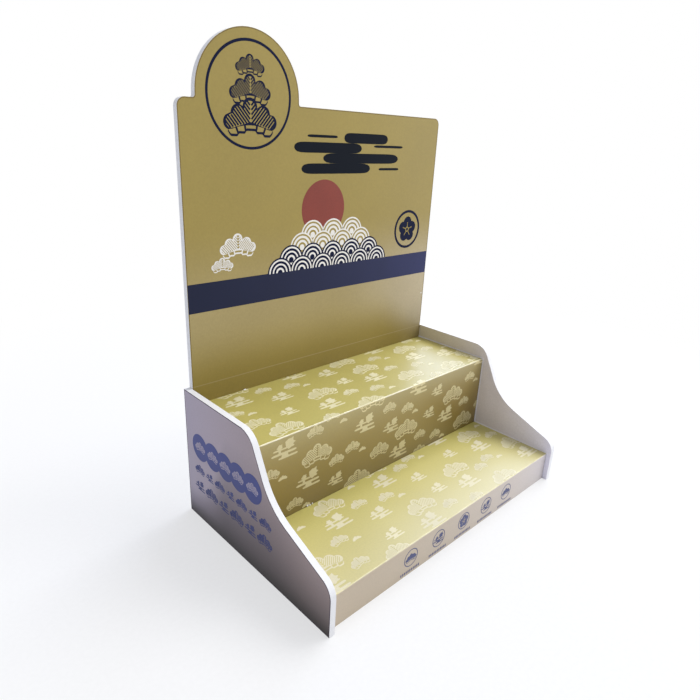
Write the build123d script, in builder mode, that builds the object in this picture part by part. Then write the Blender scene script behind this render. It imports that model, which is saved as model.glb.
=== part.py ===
from build123d import *
import os

# A counter display stand cut from one thickness of rigid foam board: a tall back panel with an
# arched header, two S-shaped side panels and two folded steps, glued edge to face.
# Lengths are in millimetres. X runs to the right, Y to the back and Z up. The origin lies on
# the floor, in the middle of the stand's width and depth.

# Whole stand
stand_width = 300.0
stand_depth = 185.5
board = 5.0
glue_line = 0.2

# Side panels, with depths counted back from their front edges
side_height = 117.5
nose_height = 40.5
nose_radius = 14.0
dip_depth = 67.0
dip_height = 67.5
dip_radius = 54.0
crest_depth = 92.0
crest_radius = 18.0

# Back panel, with the arch placed from the panel's own left edge
shoulder_height = 338.0
shoulder_radius = 6.5
arch_radius = 46.5
arch_centre_inset = 60.7
arch_neck = 3.5
arch_root_radius = 2.0
root_of_neck_share = 0.8

# Folded steps, with setbacks counted back from the side panels' front edges
apron_setback = 4.5
lower_shelf_height = 28.5
riser_setback = 92.0
upper_shelf_height = 103.0
fold_radius = 1.0

# Places that the boards share
front_y = -stand_depth / 2
rear_y = stand_depth / 2
apron_y = front_y + apron_setback
riser_y = front_y + riser_setback
back_face_y = rear_y - board
inner_width = stand_width - 2 * (board + glue_line)

os.makedirs("parts", exist_ok=True)

# Side panels: one outline, cut twice, that falls from the crest beside the upper shelf through a
# hollow sweep to the nose beside the lower shelf
nose = (front_y, nose_height)
dip = (front_y + dip_depth, dip_height)
crest = (front_y + crest_depth, side_height)
side_corners = [(front_y, 0), nose, dip, crest, (rear_y, side_height), (rear_y, 0)]
side_bends = [(nose, nose_radius), (dip, dip_radius), (crest, crest_radius)]
side_places = {
    "left_side_panel": -stand_width / 2,
    "right_side_panel": stand_width / 2 - board,
}

for side_name, side_x in side_places.items():
    with BuildPart() as side_panel:
        with BuildSketch(Plane.YZ.offset(side_x)) as side_outline:
            with BuildLine():
                Polyline(side_corners, close=True)
            make_face()
            for corner, radius in side_bends:
                fillet(side_outline.vertices().sort_by_distance(corner)[0], radius=radius)
        extrude(amount=board)
    side_panel.part.label = side_name
    export_step(side_panel.part, f"parts/{side_name}.step")

# Back panel: it stands on the floor between the side panels, flush with their rear edges, and
# rises to rounded shoulders and a round arch left of the middle
panel_edge = inner_width / 2
arch_x = arch_centre_inset - panel_edge
arch_left = (arch_x - arch_radius, shoulder_height)
arch_right = (arch_x + arch_radius, shoulder_height)
spring_height = shoulder_height + arch_neck
arch_top = (arch_x, spring_height + arch_radius)
left_shoulder = (-panel_edge, shoulder_height)
right_shoulder = (panel_edge, shoulder_height)
root_radius = min(arch_root_radius, arch_neck * root_of_neck_share)
panel_bends = [
    (left_shoulder, shoulder_radius),
    (right_shoulder, shoulder_radius),
    (arch_left, root_radius),
    (arch_right, root_radius),
]

with BuildPart() as back_panel:
    with BuildSketch(Plane.XZ.offset(-rear_y)) as panel_outline:
        with BuildLine():
            boundary = Polyline(
                (arch_left[0], spring_height),
                arch_left,
                left_shoulder,
                (-panel_edge, 0),
                (panel_edge, 0),
                right_shoulder,
                arch_right,
                (arch_right[0], spring_height),
            )
            ThreePointArc(boundary @ 1, arch_top, boundary @ 0)
        make_face()
        for corner, radius in panel_bends:
            fillet(panel_outline.vertices().sort_by_distance(corner)[0], radius=radius)
    extrude(amount=board)
back_panel.part.label = "back_panel"
export_step(back_panel.part, "parts/back_panel.step")

# Folded steps: each is one board, grooved on its hidden side and bent down along its front edge,
# so the front wall and the shelf share one skin. The lower shelf ends against the upper step's
# front wall, and the upper shelf ends against the back panel.
folded_steps = {
    "lower_step": (apron_y, riser_y - glue_line, lower_shelf_height),
    "upper_step": (riser_y, back_face_y - glue_line, upper_shelf_height),
}

for step_name, (wall_y, shelf_end_y, shelf_top) in folded_steps.items():
    fold = (wall_y, shelf_top)
    with BuildPart() as folded_step:
        with BuildSketch(Plane.YZ.offset(-inner_width / 2)) as step_section:
            with BuildLine():
                Polyline(
                    (wall_y, 0),
                    fold,
                    (shelf_end_y, shelf_top),
                    (shelf_end_y, shelf_top - board),
                    (wall_y + board, shelf_top - board),
                    (wall_y + board, 0),
                    close=True,
                )
            make_face()
            fillet(step_section.vertices().sort_by_distance(fold)[0], radius=fold_radius)
        extrude(amount=inner_width)
    folded_step.part.label = step_name
    export_step(folded_step.part, f"parts/{step_name}.step")
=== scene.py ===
"""Dresses a folded foam board display stand: printed films, ink patterns, cut edges, floor and light."""

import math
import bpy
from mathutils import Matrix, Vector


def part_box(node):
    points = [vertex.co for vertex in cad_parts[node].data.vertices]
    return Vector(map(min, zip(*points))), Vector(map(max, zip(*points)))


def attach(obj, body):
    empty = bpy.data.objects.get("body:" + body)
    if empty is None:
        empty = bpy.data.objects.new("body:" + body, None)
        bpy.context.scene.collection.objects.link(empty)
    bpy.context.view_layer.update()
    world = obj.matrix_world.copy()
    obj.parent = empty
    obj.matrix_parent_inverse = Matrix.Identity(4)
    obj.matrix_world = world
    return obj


bl_info = {
    "name": "Foam Board Display Stand",
    "version": (1, 0, 0),
    "blender": (4, 5, 0),
    "location": "View3D > Sidebar > Stand",
    "description": "Prints and finishes for a stepped foam board display stand",
    "category": "Object",
}

from functools import partial

import bmesh
import bpy
import numpy as np
from bpy.props import FloatProperty, FloatVectorProperty, PointerProperty
from mathutils import Matrix, Vector

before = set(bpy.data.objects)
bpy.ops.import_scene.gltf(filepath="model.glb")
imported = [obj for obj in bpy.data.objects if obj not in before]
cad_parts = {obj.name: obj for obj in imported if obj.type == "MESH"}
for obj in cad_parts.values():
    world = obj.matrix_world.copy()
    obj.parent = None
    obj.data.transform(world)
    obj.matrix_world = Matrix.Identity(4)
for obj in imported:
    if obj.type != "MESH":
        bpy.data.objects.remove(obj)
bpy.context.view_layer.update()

MM = 0.001
HALF_TURN = math.pi
# The back print runs down to the right by this share
PRINT_TILT = 0.0055
# Height of a print over its board beyond the ink's thickness, and its margin to the board's edges, in mm
INK_CLEARANCE = 0.01
PRINT_MARGIN = 0.3
# Satin of the film on the steps
FILM_ROUGHNESS = 0.45
FILM_SPECULAR = 0.95
FILM_COAT = 0.45
# Ink on it is more matt
INK_SPECULAR = 0.35

# Faces of the boards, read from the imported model, in millimetres
back_low, back_high = (np.array(corner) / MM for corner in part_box("back_panel"))
upper_low, upper_high = (np.array(corner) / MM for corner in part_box("upper_step"))
lower_low, lower_high = (np.array(corner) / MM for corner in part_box("lower_step"))
left_low, left_high = (np.array(corner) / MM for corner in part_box("left_side_panel"))
right_high = np.array(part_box("right_side_panel")[1]) / MM


def linear(code):
    """Linear red, green and blue of an sRGB hex code.

    A dark part c gives c / 12.92, and a bright one ((c + 0.055) / 1.055) ^ 2.4.
    """
    parts = np.array([int(code[at : at + 2], 16) for at in (1, 3, 5)]) / 255
    bright = ((parts + 0.055) / 1.055) ** 2.4
    return tuple(np.where(parts <= 0.04045, parts / 12.92, bright).tolist())


def length(name, description, millimetres):
    """A length that a user may change, given in millimetres and kept in metres."""
    return FloatProperty(
        name=name,
        description=description,
        default=millimetres * MM,
        min=0.0,
        unit="LENGTH",
        subtype="DISTANCE",
        precision=5,
    )


def colour(name, description, code):
    """A colour that a user may change, given as an sRGB hex code and kept as linear light."""
    return FloatVectorProperty(
        name=name,
        description=description,
        default=linear(code),
        min=0.0,
        max=1.0,
        size=3,
        subtype="COLOR",
    )


class StandSizes(bpy.types.PropertyGroup):
    """Sizes of what is printed on the boards."""

    ink_film: length("Ink film", "Thickness of a printed ink film", 0.05)
    fold_radius: length("Fold radius", "Outer radius of the folded steps", 1.0)
    stripe_low: length("Stripe bottom", "Height of the back stripe's lower edge", 180.5)
    stripe_high: length("Stripe top", "Height of the back stripe's upper edge", 204.0)
    crest_radius: length("Crest radius", "Outer radius of the ring in the arch", 38.2)
    crest_line: length("Crest line", "Width of the ring's line in the arch", 2.0)
    crease_height: length("Crease height", "Height of the crease across the back panel", 118.0)
    disc_radius: length("Disc radius", "Radius of the discs on the side panels", 12.1)
    edge_line: length("Edge line", "Width of the dark line along the film's cut edge", 0.7)
    apron_ring: length("Apron ring", "Outer radius of the rings on the apron", 8.0)
    apron_line: length("Apron ring line", "Width of the apron rings' line", 0.75)


class StandColours(bpy.types.PropertyGroup):
    """Colours of the printed films, the inks and the bare board."""

    gold: colour("Gold", "Film on the back panel", "#9E8A44")
    # Pale gold is the colour of a painted reflection on the back panel, and of its crease
    sheen_and_crease_gold: colour("Pale gold", "Film on the back panel where it is palest, and its crease", "#BBAC8B")
    shelf_gold: colour("Shelf gold", "Film on the upper step's top", "#B7AC5B")
    # Paler at the front of the lower step by painted sheen
    sheen_front_gold: colour("Front gold", "Film on the lower step's top, at its front", "#C1B778")
    lower_gold: colour("Lower gold", "Film on the lower step's top, at its rear", "#BFB55E")
    # The riser's two golds are one film, in painted shade at its foot and in painted light at its top
    riser_foot_in_shade: colour("Riser gold", "Film on the upper step's front, at its foot", "#856D12")
    lit_riser_top: colour("Pale riser gold", "Film on the upper step's front, at its top", "#968855")
    pine: colour("Pale pine", "Ink of the pattern on the upper step", "#E0D9B2")
    # The riser's pine ink is the same ink in painted shade
    riser_pine_in_shade: colour("Riser pale pine", "Ink of the pattern on the riser", "#DDD09F")
    lower_pine: colour("Lower pale pine", "Ink of the pattern on the lower step", "#DBD4B4")
    taupe: colour("Taupe", "Film on the lower step's front, at its left", "#BAA88C")
    # Paler to the right of the apron by painted sheen
    sheen_taupe: colour("Pale taupe", "Film on the lower step's front, at its right", "#C8BFBC")
    lilac: colour("Lilac grey", "Film on the side panels' outer faces, at the rear", "#AFA5B3")
    warm_lilac: colour("Warm lilac grey", "Film on the side panels' outer faces, at the front", "#AC9A97")
    # Dark lines of painted shade along the cut edges of the films
    grey_edge_shade: colour("Grey edge", "Line along the cut edge of the grey film", "#453A47")
    gold_edge_shade: colour("Gold edge", "Line along the cut edge of the gold film", "#7E6A32")
    stone: colour("Stone grey", "Film on the side panels' inner faces", "#D1CACF")
    # The inner face's stone greys are one film: paler and bluer to the front by painted light, warmer to the
    # rear by painted reflection of the gold
    gold_lit_stone: colour("Warm stone grey", "Film on the side panels' inner faces, at the rear", "#C8BFA8")
    lit_stone: colour("Pale stone grey", "Film on the side panels' inner faces, at the front", "#E4E1F2")
    margin: colour("Margin", "Bare margin of the side panels along the steps", "#E8E6F0")
    navy: colour("Navy ink", "Stripe, rings and wave crests", "#0C1534")
    # The stripe's right end is paler and bluer by painted sheen
    sheen_navy: colour("Far navy", "Ink of the stripe towards its right end", "#262C5A")
    apron_navy: colour("Apron navy", "Rings and motifs on the apron", "#4A5078")
    soot: colour("Soot ink", "Broad mist bars on the back panel", "#131821")
    cream: colour("Cream ink", "Pale crests on the back panel", "#ECE8DF")
    rust: colour("Rust ink", "Disc behind the crests", "#86382B")
    blue: colour("Blue ink", "Discs and motifs on the side panels", "#424A86")
    # Pale along the folds: partly wearing of the film, partly a painted highlight on the rounded fold
    fold: colour("Fold", "Wear along the steps' folds", "#F2ECD4")
    skin: colour("Skin", "Back of the back panel", "#E8E5E1")
    foam: colour("Foam", "Cut edges and bare faces of the board", "#EFEEED")


class StandLight(bpy.types.PropertyGroup):
    """Levels of the plain studio light."""

    room: FloatProperty(name="Room", description="Level of the even room light", default=0.66, min=0.0)
    room_tint: colour("Room tint", "Colour of the even room light", "#EFF3FF")
    window: FloatProperty(name="Window", description="Radiance of the side window", default=3.5, min=0.0)
    daylight: colour("Daylight", "Colour of the side window", "#C8D8FF")
    ceiling: FloatProperty(name="Ceiling", description="Radiance of the overhead panel", default=6.6, min=0.0)
    front: FloatProperty(name="Front", description="Radiance of the front panel", default=1.6, min=0.0)


# Flat shapes. Each is (points in millimetres, quads, triangles), drawn anticlockwise.


def star_patch(reach):
    """A filled outline round its middle: on ray k, point = reach[k] * (cos a, sin a), a = 2 pi k / rays."""
    angle = np.arange(len(reach)) / len(reach) * 2 * HALF_TURN
    rim = np.column_stack((reach * np.cos(angle), reach * np.sin(angle)))
    near = np.arange(1, len(reach) + 1)
    middle = np.zeros_like(near)
    triangles = np.column_stack((middle, near, np.roll(near, -1)))
    return np.vstack(([[0.0, 0.0]], rim)), np.empty((0, 4), int), triangles


def ribbon(right, left, closed=False):
    """A filled band between two lines of equal count: point = (1 - t) right + t left, at t = 0 and t = 1."""
    count = len(right)
    here = np.arange(count if closed else count - 1)
    ahead = (here + 1) % count
    quads = np.column_stack((here, ahead, ahead + count, here + count))
    return np.vstack((right, left)), quads, np.empty((0, 3), int)


def strips(starts, ends, width):
    """Straight strips as separate quads, each from its start to its end, half the width to either side."""
    along = ends - starts
    along = along / np.linalg.norm(along, axis=1, keepdims=True)
    aside = np.column_stack((-along[:, 1], along[:, 0])) * width / 2
    points = np.stack((starts - aside, ends - aside, ends + aside, starts + aside), axis=1)
    quads = np.arange(4 * len(starts)).reshape(-1, 4)
    return points.reshape(-1, 2), quads, np.empty((0, 3), int)


def ring(outer, width, rays=96):
    """A round line: points at radius outer - width and outer on evenly spaced rays."""
    angle = np.arange(rays) / rays * 2 * HALF_TURN
    ray = np.column_stack((np.cos(angle), np.sin(angle)))
    return ribbon(outer * ray, (outer - width) * ray, closed=True)


def edge_line(outline, inset, width):
    """A thin band inside a closed outline: corners move in by their mitre (n1 + n2) / (1 + n1 . n2)."""
    ahead = np.roll(outline, -1, axis=0) - outline
    ahead = ahead / np.linalg.norm(ahead, axis=1, keepdims=True)
    inward = np.column_stack((-ahead[:, 1], ahead[:, 0]))
    before = np.roll(inward, 1, axis=0)
    mitre = (inward + before) / (1 + np.sum(inward * before, axis=1, keepdims=True))
    return ribbon(outline + inset * mitre, outline + (inset + width) * mitre, closed=True)


def disc(radius, rays=64):
    """A filled circle: the same reach on every ray."""
    return star_patch(np.full(rays, float(radius)))


def bar(start, end, height, thickness, lean=0.35):
    """A round-ended mist bar, sheared by lean: half height = thickness / 2 * sqrt(1 - |u|^12), u = -1..1."""
    along = np.sin(np.linspace(-HALF_TURN / 2, HALF_TURN / 2, 17))
    half = thickness / 2 * np.sqrt(np.clip(1 - np.abs(along) ** 12, 0.02, 1))
    middle = (start + end) / 2 + (end - start) / 2 * along
    low = np.column_stack((middle - lean * half, height - half))
    high = np.column_stack((middle + lean * half, height + half))
    return ribbon(low, high)


def block(low_ends, high_ends, low, high):
    """A link between two bars: a quad from its lower edge to its upper edge."""
    lower = np.column_stack((low_ends, (low, low)))
    upper = np.column_stack((high_ends, (high, high)))
    return ribbon(lower, upper)


def leaf(radius, tips, rays=60):
    """A pointed blade: reach = radius + sum of tip * (1 - angle from tip / spread)^2 inside each spread."""
    angle = np.arange(rays) / rays * 360
    reach = np.full(rays, float(radius))
    for bearing, tip, spread in tips:
        away = np.abs((angle - bearing + 180) % 360 - 180)
        reach += tip * np.clip(1 - away / spread, 0, 1) ** 2
    return star_patch(reach)


def shifted(shape, x, y):
    """The same shape moved by x and y."""
    points, quads, triangles = shape
    return points + np.array((x, y)), quads, triangles


# Motifs. Each is a list of (shape, ink number, layer), about its own middle.

# Lobes of a pine crown 32 mm wide, then the heart that fills it, as x, y and radius
CROWN_LOBES = np.array(
    [
        (-12.4, -2.2, 3.8), (-7.6, 2.0, 4.2), (-0.4, 5.2, 4.3), (7.6, 2.0, 4.2), (12.2, -1.8, 3.9),
        (-9.0, -2.8, 3.4), (-4.0, -0.6, 4.2), (0.0, -0.8, 4.0), (4.0, -0.6, 4.2), (9.0, -2.8, 3.4),
    ]
)
CROWN_UNDERSIDE = 3.5
CROWN_ARCH = 0.0165
CROWN_RIM = 1.5
NEEDLE_LEAN = math.radians(42)
NEEDLE_OFFSETS = np.arange(-5.1, 13.6, 1.45)
NEEDLE_GAP = 0.45
TWIG_WIDTH = 1.2
# Rays and needle width of a crown that is printed small
SPRIG = (72, 1.15)


def far_side(starts, directions):
    """How far each ray runs before it leaves the last lobe: b + sqrt(b^2 - c), the far root on a circle."""
    offset = CROWN_LOBES[None, :, :2] - starts[:, None, :]
    along = np.sum(offset * directions[:, None, :], axis=2)
    inside = along**2 - np.sum(offset**2, axis=2) + CROWN_LOBES[None, :, 2] ** 2
    reach = np.where(inside > 0, along + np.sqrt(np.clip(inside, 0, None)), 0)
    return reach.max(axis=1)


def crown_outline(rays):
    """Rays from a crown's middle, and their reach: the farthest lobe, cut by y = -underside - arch * x^2."""
    angle = np.arange(rays) / rays * 2 * HALF_TURN
    ray = np.column_stack((np.cos(angle), np.sin(angle)))
    reach = far_side(np.zeros((rays, 2)), ray)
    root = ray[:, 1] ** 2 - 4 * CROWN_ARCH * ray[:, 0] ** 2 * CROWN_UNDERSIDE
    down = (ray[:, 1] < 0) & (root > 0)
    fall = -ray[:, 1] + np.sqrt(np.clip(root, 0, None))
    below = np.where(down, 2 * CROWN_UNDERSIDE / np.where(down, fall, 1), np.inf)
    return ray, np.minimum(reach, below)


def crown_rim(rays):
    """The crown's lobed border: a band between the outline and the outline less the rim, on every ray."""
    ray, reach = crown_outline(rays)
    return ribbon(ray * reach[:, None], ray * (reach - CROWN_RIM)[:, None], closed=True)


def crown_needles(width):
    """Needles with gaps between: strips x cos(lean) - y sin(lean) = offset, up and outwards to the rim.

    A needle starts at the crown's middle line, or where it meets the underside.
    """
    out, up = math.sin(NEEDLE_LEAN), math.cos(NEEDLE_LEAN)
    offset = NEEDLE_OFFSETS
    foot = CROWN_UNDERSIDE - CROWN_RIM / 2
    slope = up / out
    root = slope**2 - 4 * CROWN_ARCH * (foot - offset / out)
    meets = (np.sqrt(np.clip(root, 0, None)) - slope) / (2 * CROWN_ARCH)
    across = np.maximum(NEEDLE_GAP, meets)
    height = slope * across - offset / out
    side = np.repeat((-1.0, 1.0), len(offset))
    starts = np.column_stack((side * np.tile(across, 2), np.tile(height, 2)))
    directions = np.column_stack((side * out, np.full(len(side), up)))
    reach = far_side(starts, directions) - CROWN_RIM / 2
    starts, directions, reach = (part[reach > width] for part in (starts, directions, reach))
    return strips(starts, starts + directions * reach[:, None], width)


def twig_height(across):
    """Height of the twig: -5.6, less 1.4 in a soft step at 3.2 and again at 7.7 mm, plus 2.2 at the tips.

    A soft step is t^2 (3 - 2 t) for t from 0 to 1.
    """
    away = np.abs(across)
    first, second = (np.clip((away - start) / 1.4, 0, 1) for start in (2.5, 7.0))
    drop = first**2 * (3 - 2 * first) + second**2 * (3 - 2 * second)
    return -5.6 - 1.4 * drop + 2.2 * np.clip((away - 11.6) / 2, 0, 1) ** 1.6


def crown_twig():
    """The twig under a crown: a band of one width along the twig's height."""
    across = np.linspace(-13.6, 13.6, 61)
    height = twig_height(across)
    low = np.column_stack((across, height - TWIG_WIDTH / 2))
    return ribbon(low, np.column_stack((across, height + TWIG_WIDTH / 2)))


def crown_ticks():
    """Short ticks that tie the twig to the crown: strips that lean outwards as they rise."""
    foot = np.array((-7.6, -3.2, 3.2, 7.6))
    head = 1.18 * foot
    starts = np.column_stack((foot, twig_height(foot)))
    ends = np.column_stack((head, 0.5 - CROWN_UNDERSIDE - CROWN_ARCH * head**2))
    return strips(starts, ends, 1.1)


def pine_crown(rays=108, needle=0.92):
    """A pine crown 32 mm wide: lobed rim, needles of one width with gaps between, and a twig tied below."""
    return [
        (crown_rim(rays), 0, 0),
        (crown_needles(needle), 0, 1),
        (crown_twig(), 0, 2),
        (crown_ticks(), 0, 3),
    ]


def pine_bud():
    """A crown too small to show needles."""
    return [(star_patch(crown_outline(48)[1]), 0, 0)]


def solid_crown():
    """A pine crown without gaps, over its twig."""
    return pine_bud() + [(crown_twig(), 0, 1), (crown_ticks(), 0, 2)]


def mist_with_leaves():
    """Three stepped mist bars, 25.7 mm wide, joined by blocks, with two pointed leaves on the upper bar."""
    blade = leaf(4.0, ((52, 2.2, 26), (2, 2.2, 18), (-102, 1.0, 40), (150, 0.9, 34), (106, 0.2, 20)))
    bract = leaf(2.1, ((41, 1.1, 30), (-14, 1.0, 24), (187, 1.2, 36), (100, 0.4, 26)))
    return [
        (bar(-6.0, 12.6, -7.1, 1.8), 0, 0),
        (bar(-12.7, 11.4, -3.2, 2.0), 0, 1),
        (block((-3.3, 3.6), (-2.7, 3.0), -6.6, -3.9), 0, 2),
        (bar(-11.0, 9.3, 0.6, 1.5), 0, 3),
        (block((-5.9, -3.5), (-6.1, -3.7), -2.5, 0.2), 0, 4),
        (shifted(bract, -4.7, 2.9), 0, 5),
        (shifted(blade, 4.7, 3.6), 0, 6),
    ]


def broad_mist():
    """Drifting mist, about 130 mm wide: four stepped bars against each other, with three thin streaks."""
    bars = (
        (-58, 24, -12.9, 8.6),
        (-34, 62, -4.3, 8.6),
        (-66, 12, 4.3, 8.6),
        (-10, 46, 12.9, 8.6),
        (28, 68, 6.6, 2.2),
        (-52, -18, 13.4, 2.2),
        (36, 64, -13.6, 2.2),
    )
    return [(bar(start, end, height, thick, 0.0), 0, 0) for start, end, height, thick in bars]


def blossom():
    """A five-petalled blossom, 16 mm across: petals as discs round a ring of stamens in the second ink."""
    bearing = np.radians(90 + 72 * np.arange(5))
    petals = [
        (shifted(disc(3.6, 32), 4.3 * math.cos(a), 4.3 * math.sin(a)), 0, index)
        for index, a in enumerate(bearing)
    ]
    ray = np.column_stack((np.cos(bearing), np.sin(bearing)))
    stamens = strips(ray * 0.9, ray * 4.4, 0.5)
    return petals + [(disc(2.6, 32), 0, 5), (stamens, 1, 6), (ring(1.6, 0.6, 32), 1, 7)]


def wave_crest():
    """One wave crest, 26 mm across: a disc in the first ink with two rings and a heart in the second."""
    return [
        (disc(13.0), 0, 0),
        (ring(11.6, 1.5), 1, 1),
        (ring(8.0, 1.5), 1, 1),
        (disc(4.4, 40), 1, 1),
        (disc(2.6, 40), 0, 2),
    ]


class PrintSheet:
    """A flat print that grows motif by motif, and is then trimmed and laid on a board as one ink film."""

    LAYER = 0.004

    def __init__(self):
        self.lift = bpy.context.scene.stand_sizes.ink_film / MM + INK_CLEARANCE
        self.points, self.quads, self.triangles = [], [], []
        self.quad_inks, self.triangle_inks = [], []
        self.count = 0

    def put(self, motif, x, y, scale=1.0, inks=(0, 1), layer=0):
        """Adds a motif at x and y in millimetres, scaled, in the inks given by number."""
        for (points, quads, triangles), ink, part_layer in motif:
            placed = points * scale + np.array((x, y))
            height = np.full(len(points), self.lift + self.LAYER * (layer + part_layer))
            self.points.append(np.column_stack((placed, height)))
            self.quads.append(quads + self.count)
            self.triangles.append(triangles + self.count)
            self.quad_inks.append(np.full(len(quads), inks[ink]))
            self.triangle_inks.append(np.full(len(triangles), inks[ink]))
            self.count += len(points)

    def lay(self, name, place, inks, window, creases=()):
        """Trims the print to its window, splits it at the creases, and lays it on the board by place()."""
        faces = np.vstack(self.quads).tolist() + np.vstack(self.triangles).tolist()
        mesh = bpy.data.meshes.new(name)
        mesh.from_pydata(np.vstack(self.points).tolist(), [], faces)
        for ink in inks:
            mesh.materials.append(ink)
        mesh.polygons.foreach_set("material_index", np.concatenate(self.quad_inks + self.triangle_inks))
        low, high = np.array(window)
        cuts = [((low[0], 0, 0), (-1, 0, 0), True), ((high[0], 0, 0), (1, 0, 0), True)]
        cuts += [((0, low[1], 0), (0, -1, 0), True), ((0, high[1], 0), (0, 1, 0), True)]
        cuts += [((0, crease, 0), (0, 1, 0), False) for crease in creases]
        work = bmesh.new()
        work.from_mesh(mesh)
        for at, away, trim in cuts:
            parts = work.verts[:] + work.edges[:] + work.faces[:]
            bmesh.ops.bisect_plane(work, geom=parts, dist=1e-5, plane_co=at, plane_no=away, clear_outer=trim)
        work.to_mesh(mesh)
        work.free()
        flat = np.empty(len(mesh.vertices) * 3)
        mesh.vertices.foreach_get("co", flat)
        laid = place(flat.reshape(-1, 3)) * MM
        mesh.vertices.foreach_set("co", laid.ravel())
        mesh.update()
        piece = bpy.data.objects.new(name, mesh)
        bpy.context.scene.collection.objects.link(piece)
        film = piece.modifiers.new("ink_film", "SOLIDIFY")
        film.thickness = bpy.context.scene.stand_sizes.ink_film
        film.offset = -1.0
        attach(piece, "root")
        return piece


def on_front(face):
    """Lays a sheet on a face that looks to the front: (x, y, lift) becomes (x, face - lift, y)."""
    return lambda flat: np.column_stack((flat[:, 0], face - flat[:, 2], flat[:, 1]))


def on_left(face):
    """Lays a sheet on a face that looks to the left: (x, y, lift) becomes (face - lift, -x, y)."""
    return lambda flat: np.column_stack((face - flat[:, 2], -flat[:, 0], flat[:, 1]))


def on_right(face):
    """Lays a sheet on a face that looks to the right: (x, y, lift) becomes (face + lift, x, y)."""
    return lambda flat: np.column_stack((face + flat[:, 2], flat[:, 0], flat[:, 1]))


def over_fold(front, top, radius):
    """Lays a sheet over a folded step: y runs down the front below zero and back along the top above zero.

    Within the radius the sheet bends through a quarter turn a = (y + radius) / (2 radius) * 90 degrees.
    """

    def place(flat):
        across, run, lift = flat.T
        bend = np.clip((run + radius) / (2 * radius), 0, 1) * HALF_TURN / 2
        reach = radius + lift
        back = front + radius - reach * np.cos(bend) + np.clip(run - radius, 0, None)
        up = top - radius + reach * np.sin(bend) + np.clip(run + radius, None, 0)
        return np.column_stack((across, back, up))

    return place


# Places of the pine and mist pattern. Each pair is millimetres from the stand's left side and
# from the fold: back along a shelf, or down the riser where it is below zero.
UPPER_PATTERN = {
    ("crown", 1.0): (
        (40.8, 10.8), (104.8, 42.0), (166.7, 83.4), (174.8, 58.2), (199.3, 20.6), (248.0, 71.2),
        (254.0, 11.2), (128.0, 2.7), (43.0, 91.5), (65.5, -27.8), (177.2, -42.3), (247.7, -27.2),
        (271.2, -63.3), (113.8, -72.0),
    ),
    ("crown", 0.77): ((27.5, 30.7), (293.0, 25.5), (141.0, -52.0), (200.5, -76.5)),
    ("sprig", 0.54): (
        (66.7, 77.7), (92.8, 70.0), (22.0, 53.7), (81.5, 3.0), (126.6, 27.5), (202.1, 71.3),
        (197.0, 43.7), (152.1, 19.5), (226.8, 34.2), (221.7, 5.5), (270.7, 86.5), (270.8, 57.5),
        (62.9, -5.8), (18.8, -29.0), (87.4, -41.5), (43.0, -65.0), (150.7, -12.0), (176.3, -20.0),
        (105.8, -35.8), (199.0, -56.3), (274.8, -14.3), (269.0, -41.0), (224.1, -64.5), (298.0, -51.5),
    ),
    ("bud", 0.27): (
        (104.8, 62.6), (34.1, 46.0), (214.0, 63.5), (164.0, 10.8), (282.5, 78.8), (239.2, 25.5),
        (289.7, 48.0), (93.5, -6.7), (30.4, -36.4), (54.9, -72.5), (188.0, -27.7), (118.2, -43.2),
        (286.3, -21.5), (236.1, -71.3),
    ),
    ("mist", 1.0): (
        (36.0, 71.8), (106.7, 88.0), (95.5, 21.0), (166.3, 37.8), (215.2, 88.8), (240.0, 50.6),
        (276.0, 37.2), (190.5, -2.3), (286.0, 4.3), (32.2, -10.9), (56.6, -47.5), (119.7, -18.0),
        (168.0, -62.2), (238.1, -46.7),
    ),
    ("mist", 0.84): ((71.2, 57.7), (136.8, 72.8), (154.5, -31.9)),
    ("mist", 0.7): (
        (59.2, 31.7), (137.3, 48.6), (293.0, 17.0), (87.0, -60.5), (220.1, -14.8), (210.1, -36.1),
    ),
}
LOWER_PATTERN = {
    ("crown", 1.0): (
        (68.8, 76.7), (21.2, 27.0), (130.0, 27.6), (199.0, 43.4), (261.3, 73.0), (288.0, 37.0),
        (225.8, 6.5), (137.0, 93.0),
    ),
    ("crown", 0.77): ((73.2, 3.0),),
    ("sprig", 0.54): (
        (91.2, 63.0), (116.7, 55.4), (47.5, 39.8), (43.3, 12.7), (160.3, 78.2), (178.7, 84.5),
        (152.3, 13.8), (178.7, 5.0), (221.9, 30.0), (240.3, 35.5), (283.7, 59.4),
    ),
    ("bud", 0.27): (
        (34.3, 69.2), (102.8, 84.0), (59.5, 32.2), (190.7, 77.2), (128.8, 47.4), (288.0, 79.2),
        (252.7, 28.3),
    ),
    ("mist", 1.0): (
        (60.8, 57.5), (12.0, 9.0), (121.2, 9.5), (130.6, 73.0), (225.8, 89.5), (191.3, 23.5),
        (253.3, 53.5), (280.8, 16.8),
    ),
    ("mist", 0.84): ((95.5, 43.2),),
    ("mist", 0.7): ((85.3, 18.3), (160.7, 57.2), (162.1, 34.5), (216.8, 63.6)),
}

# Sockets of the mix node where it blends two colours, and two sets of settings that come back
FACTOR, FIRST, SECOND, RESULT = 0, 6, 7, 2
BLEND = {"out": RESULT, "data_type": "RGBA"}
SOFT = {"interpolation_type": "SMOOTHSTEP"}
WHITE = (1.0, 1.0, 1.0)
# Levels between which one noise, and the sum of two, spread
NOISE_SPREAD = (0.3, 0.7)
SUM_SPREAD = (0.6, 1.4)
# How far roughness sways with the grain, roughness of bare foam, and refraction of film, ink and foam
SATIN_SWAY = 0.05
BARE_ROUGHNESS = 0.78
PLASTIC_IOR = 1.5
# Tones of the film between which its grain moves, and height of that grain against a foam cell's depth
FILM_TONES = (0.92, 1.08)
FILM_GRAIN = 0.12

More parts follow.
